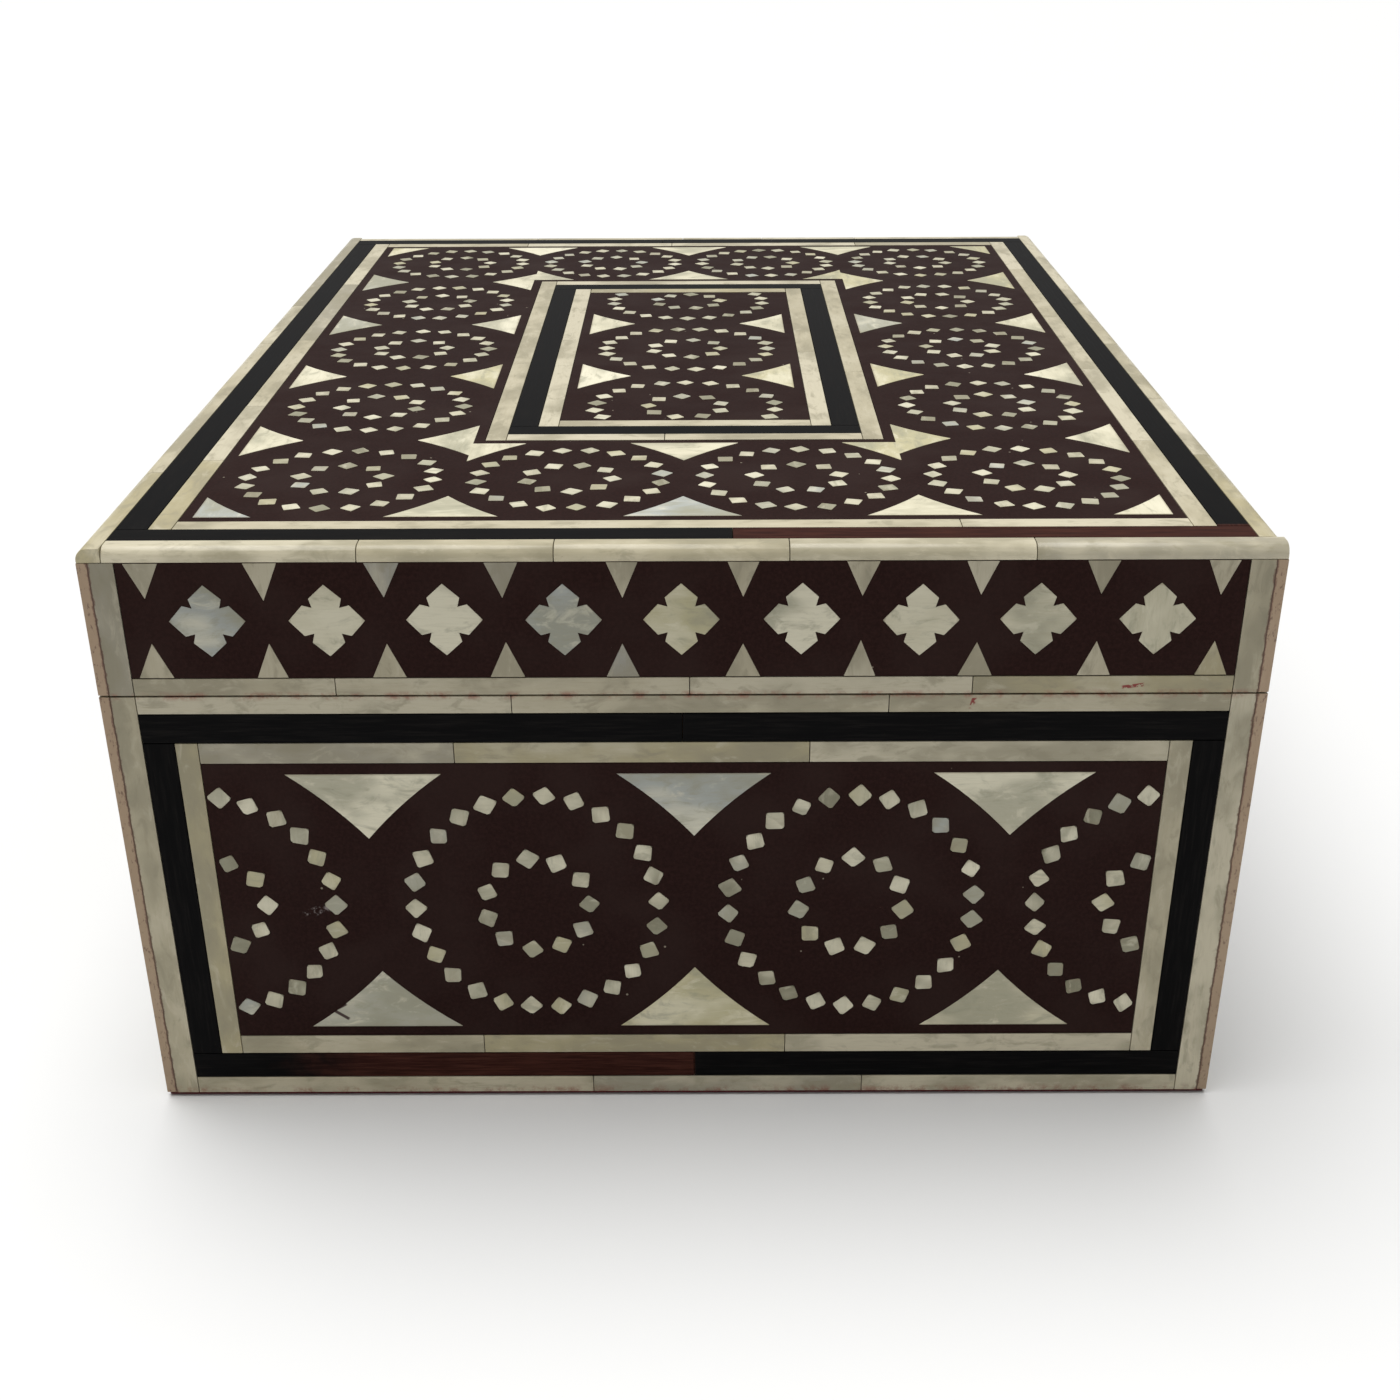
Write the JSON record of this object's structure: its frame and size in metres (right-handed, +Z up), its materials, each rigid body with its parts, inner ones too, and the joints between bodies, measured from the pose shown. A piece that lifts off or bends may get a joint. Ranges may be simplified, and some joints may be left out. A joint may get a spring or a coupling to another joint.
{
  "type": "inlaid wooden box",
  "caption": "Rectangular wooden box with a hinged lid, veneered with bone strips and inlaid with bone rosettes, triangles and quatrefoils on a dark ground.",
  "frame": {"origin": "centre of the base, on the surface the box stands on", "axes": "+X to the right, -Y towards the front face, +Z up"},
  "size_m": [0.229, 0.3103, 0.127],
  "materials": {
    "base_felt": "dark red felt",
    "lining_felt": "dark red felt",
    "carcass_wood": "plain, lightly oiled",
    "black_wood": "black stained, polished",
    "dark_ground": "dark brown stained, polished",
    "hinge_brass": "plain brass",
    "bone_chips": "polished bone",
    "bone_inlay": "polished bone",
    "bone_strips": "polished bone"
  },
  "bodies": {
    "body": {"back_black_band": "black_wood", "back_ground": "dark_ground", "back_inner_frame": "bone_strips", "back_rosette_chips": "bone_chips", "back_triangles": "bone_inlay", "back_wall": "carcass_wood", "base_board": "carcass_wood", "base_felt": "base_felt", "body_corner_strips": "bone_strips", "body_foot_strips": "bone_strips", "body_hinge_leaves": "hinge_brass", "body_hinge_screws": "hinge_brass", "body_rim_strips": "bone_strips", "floor_lining": "lining_felt", "front_black_band": "black_wood", "front_ground": "dark_ground", "front_inner_frame": "bone_strips", "front_rosette_chips": "bone_chips", "front_triangles": "bone_inlay", "front_wall": "carcass_wood", "hinge_pins": "hinge_brass", "left_black_band": "black_wood", "left_ground": "dark_ground", "left_inner_frame": "bone_strips", "left_rosette_chips": "bone_chips", "left_triangles": "bone_inlay", "left_wall": "carcass_wood", "right_black_band": "black_wood", "right_ground": "dark_ground", "right_inner_frame": "bone_strips", "right_rosette_chips": "bone_chips", "right_triangles": "bone_inlay", "right_wall": "carcass_wood"},
    "lid": {"centre_black_band": "black_wood", "centre_chips": "bone_chips", "centre_ground": "dark_ground", "centre_inner_frame": "bone_strips", "centre_outer_frame": "bone_strips", "centre_triangles": "bone_inlay", "lid_back_rail": "carcass_wood", "lid_band_ground": "dark_ground", "lid_band_triangles": "bone_inlay", "lid_board": "carcass_wood", "lid_corner_strips": "bone_strips", "lid_edge_bars": "bone_strips", "lid_front_rail": "carcass_wood", "lid_hinge_leaves": "hinge_brass", "lid_hinge_screws": "hinge_brass", "lid_left_rail": "carcass_wood", "lid_lining": "lining_felt", "lid_quatrefoils": "bone_inlay", "lid_right_rail": "carcass_wood", "lid_rim_strips": "bone_strips", "top_black_band": "black_wood", "top_chips": "bone_chips", "top_ground": "dark_ground", "top_inner_frame": "bone_strips", "top_triangles": "bone_inlay"}
  },
  "joints": [
    {"name": "lid_hinge", "type": "hinge", "parent": "body", "child": "lid", "pos_m": [0, 0.1553, 0.0966], "axis": [-1, 0, 0], "range_deg": [0, 105]}
  ]
}
